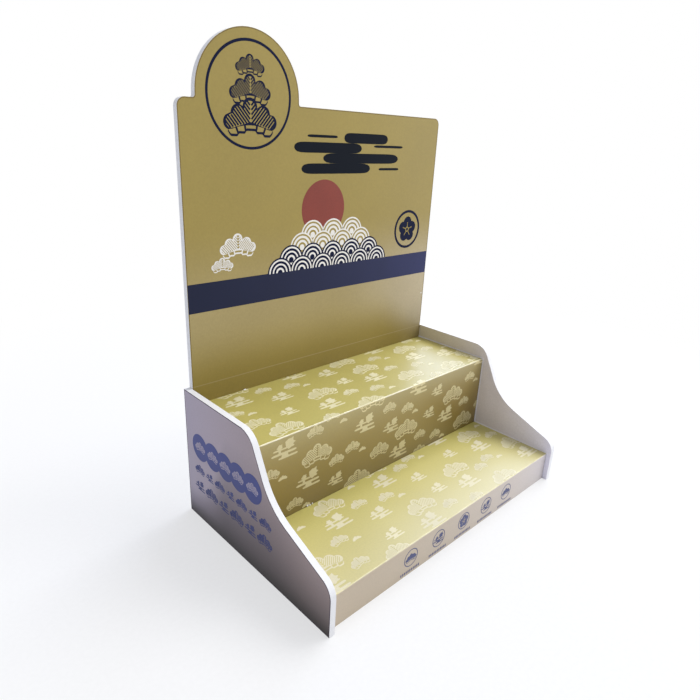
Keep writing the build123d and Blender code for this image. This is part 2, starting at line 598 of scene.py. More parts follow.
# Ramps of the paints, each two places in metres and the values there.
# Painted reflection on the back panel: its earlier start to the right, its rise, its fade above, its growth
# to the right
SHEEN_SOONER = (0.07, 0.145, 0.0, 0.032)
SHEEN_RISE = (0.118, 0.172)
SHEEN_FADE = (0.25, 0.18, 0.12, 1.0)
SHEEN_SWEEP = (0.0, 0.14, 0.36, 1.0)
# Painted shade on the gold along the upper shelf, and the pale crease by distance from its middle
SHELF_SHADE_RAMP = (upper_high[2] * MM, 0.16, 0.74, 1.0)
CREASE_LINE = (0.15 * MM, 0.6 * MM, 0.33, 0.0)
CHIP_AT = (0.1418, back_low[1] * MM, 0.1561)
CHIP_RADIUS = 0.8 * MM
# Painted shade at the foot of the side panels: its height as a share at the rear and at the front, its shade,
# and a last line of deeper painted shade
FOOT_SHADE_REAR = (0.03, 0.09, 1.0, 3.8)
FOOT_SHADE_FORE = (-0.02, -0.09, 0.0, 0.8)
FOOT_SHADE = (0.0, 0.1, 0.035, 1.0)
FOOT_SHADE_POWER = 0.8
FOOT_SHADE_LINE = (0.0, 0.014, 0.68, 1.0)
# Tones of the side panels from rear to front outside, then inside in painted light: paler to the front,
# warmer to the rear as a painted reflection of the gold, and lighter upwards
WARM_RUN = (0.09, -0.06)
LIT_FRONT_RUN = (-0.025, -0.088)
GOLD_LIT_RUN = (-0.02, back_low[1] * MM)
LIT_UPWARDS_RUN = (0.038, 0.06, 1.0, 1.1)
MARGIN_EDGE = (1.2 * MM, 1.9 * MM, 0.8, 0.0)
# Painted shadow darkens the film of a step in the last 1.5 mm at both ends, next to the side panels
END_SHADOW_WIDTH, END_SHADOW_VALUE = 1.5, 0.35
# Turn of a face from which it counts as printed, as the upright part of a print, as a shelf or as the fold
PRINTED_TURN, UPRIGHT_TURN, SHELF_TURN, FOLD_TURN = 0.3, 0.7, 0.6, -0.08


def add(tree, kind, into=(), out=0, **settings):
    """Adds one node with its settings, fills its sockets, and gives one of its outputs.

    A tuple fills the sockets in their order and a dict by name or number, each with a value or an output.
    A map range takes the value, two levels of it and the results there. A colour gets full cover.
    """
    made = tree.nodes.new("ShaderNode" + kind)
    for name, value in settings.items():
        setattr(made, name, value)
    for at, value in into.items() if isinstance(into, dict) else enumerate(into):
        socket = made.inputs[at]
        if isinstance(value, bpy.types.NodeSocket):
            tree.links.new(value, socket)
        else:
            socket.default_value = (*value, 1.0) if socket.type == "RGBA" else value
    return made.outputs[out] if made.outputs else None


def blank(name):
    """A material with an empty node tree."""
    material = bpy.data.materials.new(name)
    material.use_nodes = True
    material.node_tree.nodes.clear()
    return material, material.node_tree


def grain_and_drift(tree, place, grain, grain_detail, drift, drift_detail):
    """Fine grain over slow drift, two noises of sizes in millimetres. Gives the grain and the sum of both."""
    fine = add(tree, "TexNoise", {"Vector": place, "Scale": 1 / (grain * MM), "Detail": grain_detail})
    slow = add(tree, "TexNoise", {"Vector": place, "Scale": 1 / (drift * MM), "Detail": drift_detail})
    return fine, add(tree, "Math", (fine, slow), operation="ADD")


def printed_ink(name, shade, roughness=0.42, mottle=0.10, specular=0.3, fall=None, far=None):
    """Screen ink, dried to a thin satin film: even colour with a fine speckle where the film lies thin.

    With fall, its part on the faces along one axis has a colour of its own, a copy in painted shade, and
    painted shade deepens it to a share between two heights. With far, it turns to that colour towards the
    stand's right side, by the square of the way, as a painted sheen.
    """
    material, tree = blank(name)
    place = add(tree, "TexCoord", out="Object")
    # Pigment speckle of 0.7 mm over slow shade drift of 45 mm
    speckle, both = grain_and_drift(tree, place, 0.7, 2.0, 45, 1.0)
    strength = add(tree, "MapRange", (both, *SUM_SPREAD, 1 - mottle, 1 + mottle))
    ink = shade
    if far is not None:
        across = add(tree, "SeparateXYZ", (place,), "X")
        way = add(tree, "MapRange", (across, left_low[0] * MM, right_high[0] * MM))
        way = add(tree, "Math", (way, 2.0), operation="POWER")
        ink = add(tree, "Mix", {FACTOR: way, FIRST: shade, SECOND: far}, **BLEND)
    if fall is not None:
        axis, upright_shade, low, high, foot = fall
        height = add(tree, "SeparateXYZ", (place,), "Z")
        normal = add(tree, "NewGeometry", out="True Normal")
        along = add(tree, "VectorMath", (normal, axis), "Value", operation="DOT_PRODUCT")
        along = add(tree, "Math", (along,), operation="ABSOLUTE")
        upright = add(tree, "Math", (along, UPRIGHT_TURN), operation="GREATER_THAN")
        slope = add(tree, "MapRange", (height, low, high, foot))
        share = add(tree, "Mix", {"Factor": upright, "A": 1.0, "B": slope})
        strength = add(tree, "Math", (strength, share), operation="MULTIPLY")
        ink = add(tree, "Mix", {FACTOR: upright, FIRST: shade, SECOND: upright_shade}, **BLEND)
    sockets = {
        "Base Color": add(tree, "HueSaturation", {"Color": ink, "Value": strength}),
        "Roughness": add(
            tree, "MapRange", (speckle, *NOISE_SPREAD, roughness - SATIN_SWAY, roughness + SATIN_SWAY)
        ),
        "Normal": add(tree, "Bump", {"Height": speckle, "Strength": 0.15, "Distance": 0.02 * MM}),
        "IOR": PLASTIC_IOR,
        "Specular IOR Level": specular,
    }
    add(tree, "OutputMaterial", (add(tree, "BsdfPrincipled", sockets),))
    return material


def foam_colour(tree, place, shade):
    """White closed-cell foam: cells of 0.5 mm, a faint grey net. Gives its colour and its cell height."""
    cells = add(tree, "TexVoronoi", {"Vector": place, "Scale": 1 / (0.5 * MM)})
    value = add(tree, "MapRange", (cells, 0.0, 0.8, 1.0, 0.94))
    return add(tree, "HueSaturation", {"Color": shade, "Value": value}), cells


def film_on_foam(name, paint, facing, both_faces, foam, roughness, specular, coat=0.0):
    """PVC foam board with printed satin film: film on the faces that look along facing, bare foam elsewhere.

    The film gives an even colour with print grain and a soft broad sheen, which a clear coat makes whiter.
    Cut edges are white and matt.
    """
    material, tree = blank(name)
    place = add(tree, "TexCoord", out="Object")
    normal = add(tree, "NewGeometry", out="True Normal")
    turned = add(tree, "VectorMath", (normal, facing), "Value", operation="DOT_PRODUCT")
    if both_faces:
        turned = add(tree, "Math", (turned,), operation="ABSOLUTE")
    printed = add(tree, "Math", (turned, PRINTED_TURN), operation="GREATER_THAN")
    # Print grain of 1.5 mm, drawn coarser than a halftone so that it shows, over drift of 70 mm
    grain, both = grain_and_drift(tree, place, 1.5, 3.0, 70, 2.0)
    value = add(tree, "MapRange", (both, *SUM_SPREAD, *FILM_TONES))
    film = add(tree, "HueSaturation", {"Color": paint(tree, place, normal), "Value": value})
    bare, cells = foam_colour(tree, place, foam)
    satin = add(tree, "MapRange", (both, *SUM_SPREAD, roughness - SATIN_SWAY, roughness + SATIN_SWAY))
    # Grain stands up a little in the film, and cells are pits in the bare foam
    bare_share = add(tree, "Math", (1.0, printed), operation="SUBTRACT")
    pits = add(tree, "Math", (cells, bare_share), operation="MULTIPLY")
    film_height = add(tree, "Math", (grain, FILM_GRAIN), operation="MULTIPLY")
    height = add(tree, "Math", (film_height, pits), operation="SUBTRACT")
    bump = add(tree, "Bump", {"Height": height, "Strength": 0.5, "Distance": 0.08 * MM})
    sockets = {
        "Base Color": add(tree, "Mix", {FACTOR: printed, FIRST: bare, SECOND: film}, **BLEND),
        "Roughness": add(tree, "Mix", {"Factor": printed, "A": BARE_ROUGHNESS, "B": satin}),
        "Normal": bump,
        "IOR": PLASTIC_IOR,
        "Specular IOR Level": specular,
        "Coat Weight": add(tree, "Math", (printed, coat), operation="MULTIPLY"),
        "Coat Roughness": roughness,
        "Coat Normal": bump,
    }
    add(tree, "OutputMaterial", (add(tree, "BsdfPrincipled", sockets),))
    return material


def gold_back_paint(tree, place, normal, colours, sizes):
    """Gold film in front, and behind it the board's own white skin with faint streaks from its making.

    The film is paler about the stripe and to the right by a painted reflection, and darker along the shelf by
    painted shade. A pale crease crosses it at one height, and a chip near its right edge shows the foam.
    """
    across, _, height = add(tree, "SeparateXYZ", (place,)).node.outputs
    # Painted reflection: the gold turns pale about the stripe and towards the right side
    sooner = add(tree, "MapRange", (across, *SHEEN_SOONER), **SOFT)
    lifted = add(tree, "Math", (height, sooner), operation="ADD")
    rise = add(tree, "MapRange", (lifted, *SHEEN_RISE), **SOFT)
    fade = add(tree, "MapRange", (height, *SHEEN_FADE), **SOFT)
    sweep = add(tree, "MapRange", (across, *SHEEN_SWEEP), **SOFT)
    sheen_bloom = add(tree, "Math", (rise, fade), operation="MULTIPLY")
    sheen_bloom = add(tree, "Math", (sheen_bloom, sweep), operation="MULTIPLY")
    film = add(tree, "Mix", {FACTOR: sheen_bloom, FIRST: colours.gold, SECOND: colours.sheen_and_crease_gold}, **BLEND)
    # Painted shade: the gold darkens towards the upper shelf
    painted_shelf_shade = add(tree, "MapRange", (height, *SHELF_SHADE_RAMP), **SOFT)
    film = add(tree, "HueSaturation", {"Color": film, "Value": painted_shelf_shade})
    tilt = add(tree, "Math", (across, PRINT_TILT), operation="MULTIPLY")
    above = add(tree, "Math", (height, tilt), operation="ADD")
    off = add(tree, "Math", (above, sizes.crease_height), operation="SUBTRACT")
    near = add(tree, "Math", (off,), operation="ABSOLUTE")
    line = add(tree, "MapRange", (near, *CREASE_LINE))
    film = add(tree, "Mix", {FACTOR: line, FIRST: film, SECOND: colours.sheen_and_crease_gold}, **BLEND)
    gap = add(tree, "VectorMath", (place, CHIP_AT), "Value", operation="DISTANCE")
    chip = add(tree, "Math", (gap, CHIP_RADIUS), operation="LESS_THAN")
    film = add(tree, "Mix", {FACTOR: chip, FIRST: film, SECOND: colours.foam}, **BLEND)
    # Streaks 3 mm apart and 120 mm long
    stretch = (1 / (3 * MM), 1 / (3 * MM), 1 / (120 * MM))
    stretched = add(tree, "Mapping", {"Vector": place, "Scale": stretch})
    streaks = add(tree, "TexNoise", {"Vector": stretched, "Scale": 1.0, "Detail": 2.0})
    value = add(tree, "MapRange", (streaks, *NOISE_SPREAD, 0.985, 1.01))
    skin = add(tree, "HueSaturation", {"Color": colours.skin, "Value": value})
    turn = add(tree, "SeparateXYZ", (normal,), "Y")
    behind = add(tree, "Math", (turn, 0.0), operation="GREATER_THAN")
    return add(tree, "Mix", {FACTOR: behind, FIRST: film, SECOND: skin}, **BLEND)


def side_paint(tree, place, normal, colours):
    """Lilac grey film outside in painted shade to the floor, and stone grey inside in painted light, with a
    pale margin at the steps.
    """
    across, depth, height = add(tree, "SeparateXYZ", (place,)).node.outputs
    away = add(tree, "Math", (across,), operation="ABSOLUTE")
    split = (left_low[0] + left_high[0]) / 2 * MM
    outside = add(tree, "Math", (away, -split), operation="GREATER_THAN")
    # The foot of painted shade is nearly four times as low at the rear corner, and half as low at the front
    # one
    rear = add(tree, "MapRange", (depth, *FOOT_SHADE_REAR), **SOFT)
    fore = add(tree, "MapRange", (depth, *FOOT_SHADE_FORE), **SOFT)
    lift = add(tree, "Math", (rear, fore), operation="ADD")
    lifted = add(tree, "Math", (height, lift), operation="MULTIPLY")
    share = add(tree, "MapRange", (lifted, *FOOT_SHADE))
    shade = add(tree, "Math", (share, FOOT_SHADE_POWER), operation="POWER")
    foot = add(tree, "MapRange", (height, *FOOT_SHADE_LINE))
    shade = add(tree, "Math", (shade, foot), operation="MULTIPLY")
    warm = add(tree, "MapRange", (depth, *WARM_RUN))
    film = add(tree, "Mix", {FACTOR: warm, FIRST: colours.lilac, SECOND: colours.warm_lilac}, **BLEND)
    lilac = add(tree, "HueSaturation", {"Color": film, "Value": shade})
    # Painted light inside: paler to the front, warmer to the rear as a painted reflection of the gold, and
    # lighter upwards
    ahead = add(tree, "MapRange", (depth, *LIT_FRONT_RUN))
    inner = add(tree, "Mix", {FACTOR: ahead, FIRST: colours.stone, SECOND: colours.lit_stone}, **BLEND)
    behind = add(tree, "MapRange", (depth, *GOLD_LIT_RUN))
    inner = add(tree, "Mix", {FACTOR: behind, FIRST: inner, SECOND: colours.gold_lit_stone}, **BLEND)
    lit_upwards = add(tree, "MapRange", (height, *LIT_UPWARDS_RUN))
    inner = add(tree, "HueSaturation", {"Color": inner, "Value": lit_upwards})
    # Height above the lower shelf, and the way out of the corner behind the riser
    low = add(tree, "Math", (height, lower_high[2] * MM), operation="SUBTRACT")
    top = add(tree, "Math", (height, upper_high[2] * MM), operation="SUBTRACT")
    clear = add(tree, "Math", (upper_low[1] * MM, depth), operation="SUBTRACT")
    clear = add(tree, "Math", (top, clear), operation="MAXIMUM")
    margin = add(tree, "Math", (low, clear), operation="MINIMUM")
    edge = add(tree, "MapRange", (margin, *MARGIN_EDGE))
    stone = add(tree, "Mix", {FACTOR: edge, FIRST: inner, SECOND: colours.margin}, **BLEND)
    return add(tree, "Mix", {FACTOR: outside, FIRST: stone, SECOND: lilac}, **BLEND)


def step_paint(tree, place, normal, fold, tops, fronts, axis, power, low, high, foot, depth, wear_and_highlight):
    """One film on the top and one on the front of a step between two corners, paled along the fold by wearing
    of the film and a painted highlight.

    The top's film turns from its first tone to its second from front to rear, and the front's along an axis,
    by a power of the way; these turns are painted light and sheen. Painted shade darkens the front towards
    its foot, which is at a height of its own. The pale fold comes and goes between two shares.
    """
    part = add(tree, "SeparateXYZ", (place,)).node.outputs
    turn = add(tree, "SeparateXYZ", (normal,)).node.outputs
    on_top = add(tree, "Math", (turn["Z"], SHELF_TURN), operation="GREATER_THAN")
    start, end = {"X": (low[0], high[0]), "Z": (foot, high[2])}[axis]
    way = add(tree, "MapRange", (part[axis], start * MM, end * MM))
    way = add(tree, "Math", (way, power), operation="POWER")
    tone = add(tree, "Mix", {FACTOR: way, FIRST: fronts[0], SECOND: fronts[1]}, **BLEND)
    # Painted shade on the front, darker to the foot and lighter to the top
    rise = add(tree, "MapRange", (part["Z"], foot * MM, high[2] * MM, 1 - depth, 1 + depth))
    away = add(tree, "Math", (part["X"],), operation="ABSOLUTE")
    # Painted shadow at both ends of the step, next to the side panels
    end_shadow = add(tree, "MapRange", (away, (high[0] - END_SHADOW_WIDTH) * MM, high[0] * MM, 1.0, END_SHADOW_VALUE))
    rise = add(tree, "Math", (rise, end_shadow), operation="MULTIPLY")
    front = add(tree, "HueSaturation", {"Color": tone, "Value": rise})
    # The top turns from front to rear; on the lower step it is paler at the front by painted sheen
    back = add(tree, "MapRange", (part["Y"], low[1] * MM, high[1] * MM))
    top = add(tree, "Mix", {FACTOR: back, FIRST: tops[0], SECOND: tops[1]}, **BLEND)
    film = add(tree, "Mix", {FACTOR: on_top, FIRST: front, SECOND: top}, **BLEND)
    product = add(tree, "Math", (turn["Y"], turn["Z"]), operation="MULTIPLY")
    bent = add(tree, "Math", (product, FOLD_TURN), operation="LESS_THAN")
    # Patches 9 mm across, where the fold is paled by wearing of the film and by a painted highlight
    patches = add(tree, "TexNoise", {"Vector": place, "Scale": 1 / (9 * MM), "Detail": 3.0})
    worn_and_lit = add(tree, "MapRange", (patches, *NOISE_SPREAD, *wear_and_highlight))
    worn_and_lit = add(tree, "Math", (bent, worn_and_lit), operation="MULTIPLY")
    return add(tree, "Mix", {FACTOR: worn_and_lit, FIRST: film, SECOND: fold}, **BLEND)


def face_outline(node, axis, face, way, middle):
    """Outline of one flat face of a board, in millimetres, by rising bearing of its corners from a middle.

    The axis is the one across the face, and way is -1 where the sheet runs against the board's own axis.
    """
    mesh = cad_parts[node].data
    flat = np.empty(len(mesh.vertices) * 3)
    mesh.vertices.foreach_get("co", flat)
    corners = flat.reshape(-1, 3) / MM
    on_face = corners[np.abs(corners[:, axis] - face) < 0.01]
    outline = np.unique((np.delete(on_face, axis, axis=1) * np.array((way, 1))).round(2), axis=0)
    away = outline - np.array(middle)
    return outline[np.argsort(np.arctan2(away[:, 1], away[:, 0]))]


def dress(node, material):
    """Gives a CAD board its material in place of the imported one."""
    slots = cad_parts[node].material_slots
    if not slots:
        raise RuntimeError(f"{node} has no material slot")
    for slot in slots:
        slot.material = material


class STAND_OT_boards(bpy.types.Operator):
    """Covers the five boards with printed film and leaves their cut edges bare."""

    bl_idname = "stand.boards"
    bl_label = "Cover Boards"

    def execute(self, context):
        colours, sizes = context.scene.stand_colours, context.scene.stand_sizes
        foam = colours.foam
        front, side = (0.0, -1.0, 0.0), (1.0, 0.0, 0.0)
        slope = (0.0, -math.sqrt(0.5), math.sqrt(0.5))
        satin = (FILM_ROUGHNESS, FILM_SPECULAR, FILM_COAT)
        gold = partial(gold_back_paint, colours=colours, sizes=sizes)
        dress("back_panel", film_on_foam("gold_film_on_foam", gold, front, True, foam, 0.45, 0.3))
        grey = partial(side_paint, colours=colours)
        sides = film_on_foam("grey_film_on_foam", grey, side, True, foam, 0.5, 0.3)
        dress("left_side_panel", sides)
        dress("right_side_panel", sides)
        # The riser turns from painted shade at its foot to painted light at its top
        upper = partial(
            step_paint,
            fold=colours.fold,
            tops=(colours.shelf_gold, colours.shelf_gold),
            fronts=(colours.riser_foot_in_shade, colours.lit_riser_top),
            axis="Z",
            power=3.0,
            low=upper_low,
            high=upper_high,
            foot=lower_high[2],
            depth=0.36,
            wear_and_highlight=(0.3, 0.75),
        )
        dress("upper_step", film_on_foam("pine_film_on_foam", upper, slope, False, foam, *satin))
        # The lower step's top is paler at the front and its apron to the right, both by painted sheen
        lower = partial(
            step_paint,
            fold=colours.fold,
            tops=(colours.sheen_front_gold, colours.lower_gold),
            fronts=(colours.taupe, colours.sheen_taupe),
            axis="X",
            power=2.0,
            low=lower_low,
            high=lower_high,
            foot=0.0,
            depth=0.02,
            wear_and_highlight=(0.0, 0.25),
        )
        dress("lower_step", film_on_foam("pine_and_taupe_film_on_foam", lower, slope, False, foam, *satin))
        return {"FINISHED"}


# Start of the lower pattern behind the fold, in millimetres, and share of the riser's ink at its foot, in
# painted shade
LOWER_START = 0.4
RISER_INK_SHADE = 0.72


class STAND_OT_step_pattern(bpy.types.Operator):
    """Prints pine crowns and leafed mist on both steps, over the fold of the upper one."""

    bl_idname = "stand.step_pattern"
    bl_label = "Print Step Pattern"

    def execute(self, context):
        colours, sizes = context.scene.stand_colours, context.scene.stand_sizes
        # Painted shade on the riser's ink, deepening to its foot
        fall = ((0.0, 1.0, 0.0), colours.riser_pine_in_shade, lower_high[2] * MM, upper_high[2] * MM, RISER_INK_SHADE)
        film = (FILM_ROUGHNESS, 0.1, INK_SPECULAR)
        upper_ink = printed_ink("pale_upper_ink", colours.pine, *film, fall)
        lower_ink = printed_ink("pale_lower_ink", colours.lower_pine, *film)
        motifs = {
            "crown": pine_crown(),
            "sprig": pine_crown(*SPRIG),
            "bud": pine_bud(),
            "mist": mist_with_leaves(),
        }
        radius = sizes.fold_radius / MM
        bends = np.linspace(-radius, radius, 7)
        riser_foot = upper_low[2] + PRINT_MARGIN - upper_high[2]
        jobs = (
            ("upper_step_pattern", UPPER_PATTERN, upper_low, upper_high, riser_foot, upper_ink),
            ("lower_step_pattern", LOWER_PATTERN, lower_low, lower_high, LOWER_START, lower_ink),
        )
        for name, pattern, low, high, start, ink in jobs:
            sheet = PrintSheet()
            for (kind, scale), places in pattern.items():
                for x, run in places:
                    sheet.put(motifs[kind], x + left_low[0], run, scale)
            end = high[1] - low[1] - PRINT_MARGIN
            window = ((low[0] + PRINT_MARGIN, start), (high[0] - PRINT_MARGIN, end))
            sheet.lay(name, over_fold(low[1], high[2], radius), [ink], window, bends)
        return {"FINISHED"}


# Places on the back panel as x and z, then crowns of the crest as rise and scale, in millimetres
CREST_AT = (-84.1, 342.5)
CREST_CROWNS = ((20.5, 0.8), (4.0, 1.15), (-15.5, 1.5))
MIST_AT = (24, 303)
SUN_AT, SUN_RADIUS = (-8, 256), 25
SEAL_AT, SEAL_RADIUS, SEAL_LINE, SEAL_SCALE = (108.5, 229.5), 19.5, 2.5, 1.65
SPRAY_CROWNS = ((-98, 231, 1.05), (-113, 217, 0.62))
# Wave crests: middle, pitch and rise of the rows, their number, crests in the lowest, overlap with the stripe
WAVE_MIDDLE, WAVE_PITCH, WAVE_RISE, WAVE_ROWS, WAVE_COUNT, WAVE_OVERLAP = 4, 24, 10, 4, 6, 0.2


class STAND_OT_back_print(bpy.types.Operator):
    """Prints the back panel: navy stripe, pine crest in the arch, mist bars, wave crests and blossom ring."""

    bl_idname = "stand.back_print"
    bl_label = "Print Back Panel"

    def execute(self, context):
        colours, sizes = context.scene.stand_colours, context.scene.stand_sizes
        navy, soot, cream, rust, gap, banded = range(6)
        inks = [
            printed_ink("navy_ink", colours.navy, 0.4, 0.14, 0.08),
            printed_ink("soot_ink", colours.soot, 0.4, 0.14, 0.05),
            printed_ink("cream_ink", colours.cream, 0.45, 0.04),
            printed_ink("rust_ink", colours.rust, 0.42, 0.2),
            printed_ink("gold_gap_ink", colours.gold, 0.45),
            # Painted sheen on the stripe towards its right end
            printed_ink("navy_stripe_ink", colours.navy, 0.4, 0.14, 0.25, far=colours.sheen_navy),
        ]
        low, high = sizes.stripe_low / MM, sizes.stripe_high / MM
        ends = np.linspace(back_low[0] - 2, back_high[0] + 2, 30)
        drop = PRINT_TILT * ends
        stripe = ribbon(np.column_stack((ends, low - drop)), np.column_stack((ends, high - drop)))
        crest_ring = ring(sizes.crest_radius / MM, sizes.crest_line / MM, 128)
        crown, (crest_x, crest_z) = pine_crown(), CREST_AT
        crest = [(crown, crest_x, crest_z + rise, scale, (navy,)) for rise, scale in CREST_CROWNS]
        waves = []
        for row in reversed(range(WAVE_ROWS)):
            count = WAVE_COUNT - row
            pair = (navy, cream) if row < 2 else (cream, gap)
            height = high - WAVE_OVERLAP + WAVE_RISE * row
            for index in range(count):
                x = WAVE_MIDDLE + (index - (count - 1) / 2) * WAVE_PITCH
                waves.append((wave_crest(), x, height, 1.0, pair, 3 * (WAVE_ROWS - row)))
        prints = {
            "back_stripe": [([(stripe, 0, 0)], 0, 0, 1.0, (banded,))],
            "arch_crest": [([(crest_ring, 0, 0)], *CREST_AT, 1.0, (navy,)), *crest],
            "broad_mist": [(broad_mist(), *MIST_AT, 1.0, (soot,))],
            "wave_crests": [([(disc(SUN_RADIUS, 96), 0, 0)], *SUN_AT, 1.0, (rust,)), *waves],
            "blossom_ring": [
                ([(ring(SEAL_RADIUS, SEAL_LINE), 0, 0)], *SEAL_AT, 1.0, (navy,)),
                (blossom(), *SEAL_AT, SEAL_SCALE, (navy, gap)),
            ],
            "pine_spray": [(crown, *place, (cream,)) for place in SPRAY_CROWNS],
        }
        for name, motifs in prints.items():
            sheet = PrintSheet()
            for motif in motifs:
                sheet.put(*motif)
            window = np.array((back_low[::2] + PRINT_MARGIN, back_high[::2] - PRINT_MARGIN))
            if name == "wave_crests":
                window[0, 1] = high - WAVE_OVERLAP
            sheet.lay(name, on_front(back_low[1]), inks, window)
        return {"FINISHED"}


# Middles of the outlines, the line's inset, and its start over the upper shelf, in millimetres
SIDE_MIDDLE, BACK_MIDDLE = np.array((45.0, 25.0)), np.array((-60.0, 200.0))
EDGE_INSET, EDGE_START = 0.1, 0.5


class STAND_OT_film_edges(bpy.types.Operator):
    """Draws a dark line of painted shade along the outline of the side and back panels."""

    bl_idname = "stand.film_edges"
    bl_label = "Paint Edge Shade"

    def execute(self, context):
        colours, sizes = context.scene.stand_colours, context.scene.stand_sizes
        # Painted shade along the films' cut edges
        grey = (printed_ink("grey_film_edge", colours.grey_edge_shade, 0.5), "grey_printed_board")
        gold = (printed_ink("gold_film_edge", colours.gold_edge_shade, 0.45), "gold_printed_board")
        mirrored = np.array((-1, 1))
        jobs = (
            ("left", "left_side_panel", 0, left_low[0], -1, SIDE_MIDDLE * mirrored, on_left, *grey),
            ("right", "right_side_panel", 0, right_high[0], 1, SIDE_MIDDLE, on_right, *grey),
            ("back", "back_panel", 1, back_low[1], 1, BACK_MIDDLE, on_front, *gold),
        )
        for side, node, axis, face, way, middle, place, ink, slot in jobs:
            outline = face_outline(node, axis, face, way, middle)
            low, high = outline.min(axis=0), outline.max(axis=0)
            if side == "back":
                low[1] = upper_high[2] + EDGE_START
            sheet = PrintSheet()
            sheet.put([(edge_line(outline, EDGE_INSET, sizes.edge_line / MM), 0, 0)], 0, 0, layer=-1)
            sheet.lay(f"{side}_film_edge", place(face), [ink], (low, high))
        return {"FINISHED"}


# Discs on the side panels: depths from the front edge, height, and height and scale of their crowns, in mm
DISC_DEPTHS, DISC_HEIGHT = (163.6, 144.3, 126.0, 107.9, 88.9), 72
DISC_CROWN = (72.5, 0.47)
# Rows of motifs below them: count, first depth, pitch, height and scale
SIDE_ROWS = ((7, 166, 15.5, 50, 0.47), (6, 167, 18.6, 34, 0.6))
# Heights in metres between which painted shade deepens the blue ink, and its share at the foot
SIDE_INK_SHADE = (0.01, 0.072, 0.45)
SIDE_MARGIN = 1


class STAND_OT_side_print(bpy.types.Operator):
    """Prints a row of overlapping discs and two rows of motifs on the outer face of both side panels."""

    bl_idname = "stand.side_print"
    bl_label = "Print Side Panels"

    def execute(self, context):
        colours, sizes = context.scene.stand_colours, context.scene.stand_sizes
        # Painted shade on the blue ink towards the floor, as on the film
        fall = ((1.0, 0.0, 0.0), colours.blue, *SIDE_INK_SHADE)
        blue = printed_ink("blue_side_ink", colours.blue, 0.48, 0.14, 0.3, fall)
        inks = [blue, printed_ink("lilac_gap_ink", colours.lilac, 0.48)]
        crown, sprig, mist = pine_crown(72), pine_crown(*SPRIG), mist_with_leaves()
        jobs = (
            ("left_side_print", on_left(left_low[0]), -1),
            ("right_side_print", on_right(right_high[0]), 1),
        )
        for name, place, way in jobs:
            sheet = PrintSheet()
            for index, depth in enumerate(DISC_DEPTHS):
                along = way * (depth + left_low[1])
                sheet.put([(disc(sizes.disc_radius / MM), 0, 0)], along, DISC_HEIGHT, layer=2 * index)
                sheet.put(crown, along, *DISC_CROWN, (1,), layer=12)
            for row, (count, first, pitch, height, scale) in enumerate(SIDE_ROWS):
                for index in range(count):
                    along = way * (first - pitch * index + left_low[1])
                    sheet.put(mist if (index + row) % 2 else sprig, along, height, scale)
            reach = left_high[1] - SIDE_MARGIN
            window = ((-reach, SIDE_MARGIN), (reach, left_high[2] - SIDE_MARGIN))
            sheet.lay(name, place, inks, window)
        return {"FINISHED"}


# Rings on the apron, in millimetres: places from the left side, height, and height of the grains below
RING_PLACES = (88.0, 122.5, 157.0, 190.5, 223.0)
RING_HEIGHT, GRAIN_HEIGHT = 15.5, 3.1
GRAIN_SHAPE, GRAIN_PITCH = (0.7, 1.4), 2.1
APRON_MARGIN = 1


class STAND_OT_apron_print(bpy.types.Operator):
    """Prints five thin rings on the lower step's front, each round a small motif and over a row of grains."""

    bl_idname = "stand.apron_print"
    bl_label = "Print Apron"

    def execute(self, context):
        colours, sizes = context.scene.stand_colours, context.scene.stand_sizes
        inks = [
            printed_ink("navy_apron_ink", colours.apron_navy, 0.42, 0.1),
            printed_ink("taupe_gap_ink", colours.taupe, 0.42),
        ]
        crown, mist = (solid_crown(), 0.4), (mist_with_leaves(), 0.55)
        motifs = (crown, mist, (blossom(), 0.8), mist, crown)
        points, quads, triangles = disc(1.0, 12)
        grain = (points * np.array(GRAIN_SHAPE), quads, triangles)
        grains = [(shifted(grain, GRAIN_PITCH * step, 0), 0, 0) for step in range(-5, 6)]
        line = [(ring(sizes.apron_ring / MM, sizes.apron_line / MM, 64), 0, 0)]
        sheet = PrintSheet()
        for (motif, scale), x in zip(motifs, RING_PLACES):
            across = x + left_low[0]
            sheet.put(line, across, RING_HEIGHT)
            sheet.put(motif, across, RING_HEIGHT, scale)
            sheet.put(grains, across, GRAIN_HEIGHT)
        low = (lower_low[0] + APRON_MARGIN, APRON_MARGIN)
        high = (lower_high[0] - APRON_MARGIN, lower_high[2] - 2 * APRON_MARGIN)
        sheet.lay("apron_rings", on_front(lower_low[1]), inks, (low, high))
        return {"FINISHED"}


# Crumbs: x, y and z of each one's middle and its half sizes, in millimetres, then how lumpy they are
CRUMBS = np.array(
    [
        (-94.2, upper_low[1] - 0.6, lower_high[2] + 1.0, 0.8, 0.55, 1.05),
        (-91.4, upper_low[1] - 0.5, lower_high[2] + 0.5, 0.9, 0.45, 0.55),
        (-88.9, upper_low[1] - 0.5, lower_high[2] + 0.8, 0.6, 0.45, 0.85),
        (-95.0, back_low[1] - 0.6, upper_high[2] + 0.4, 1.5, 0.45, 0.45),
    ]
)
CRUMB_LUMP = 0.16


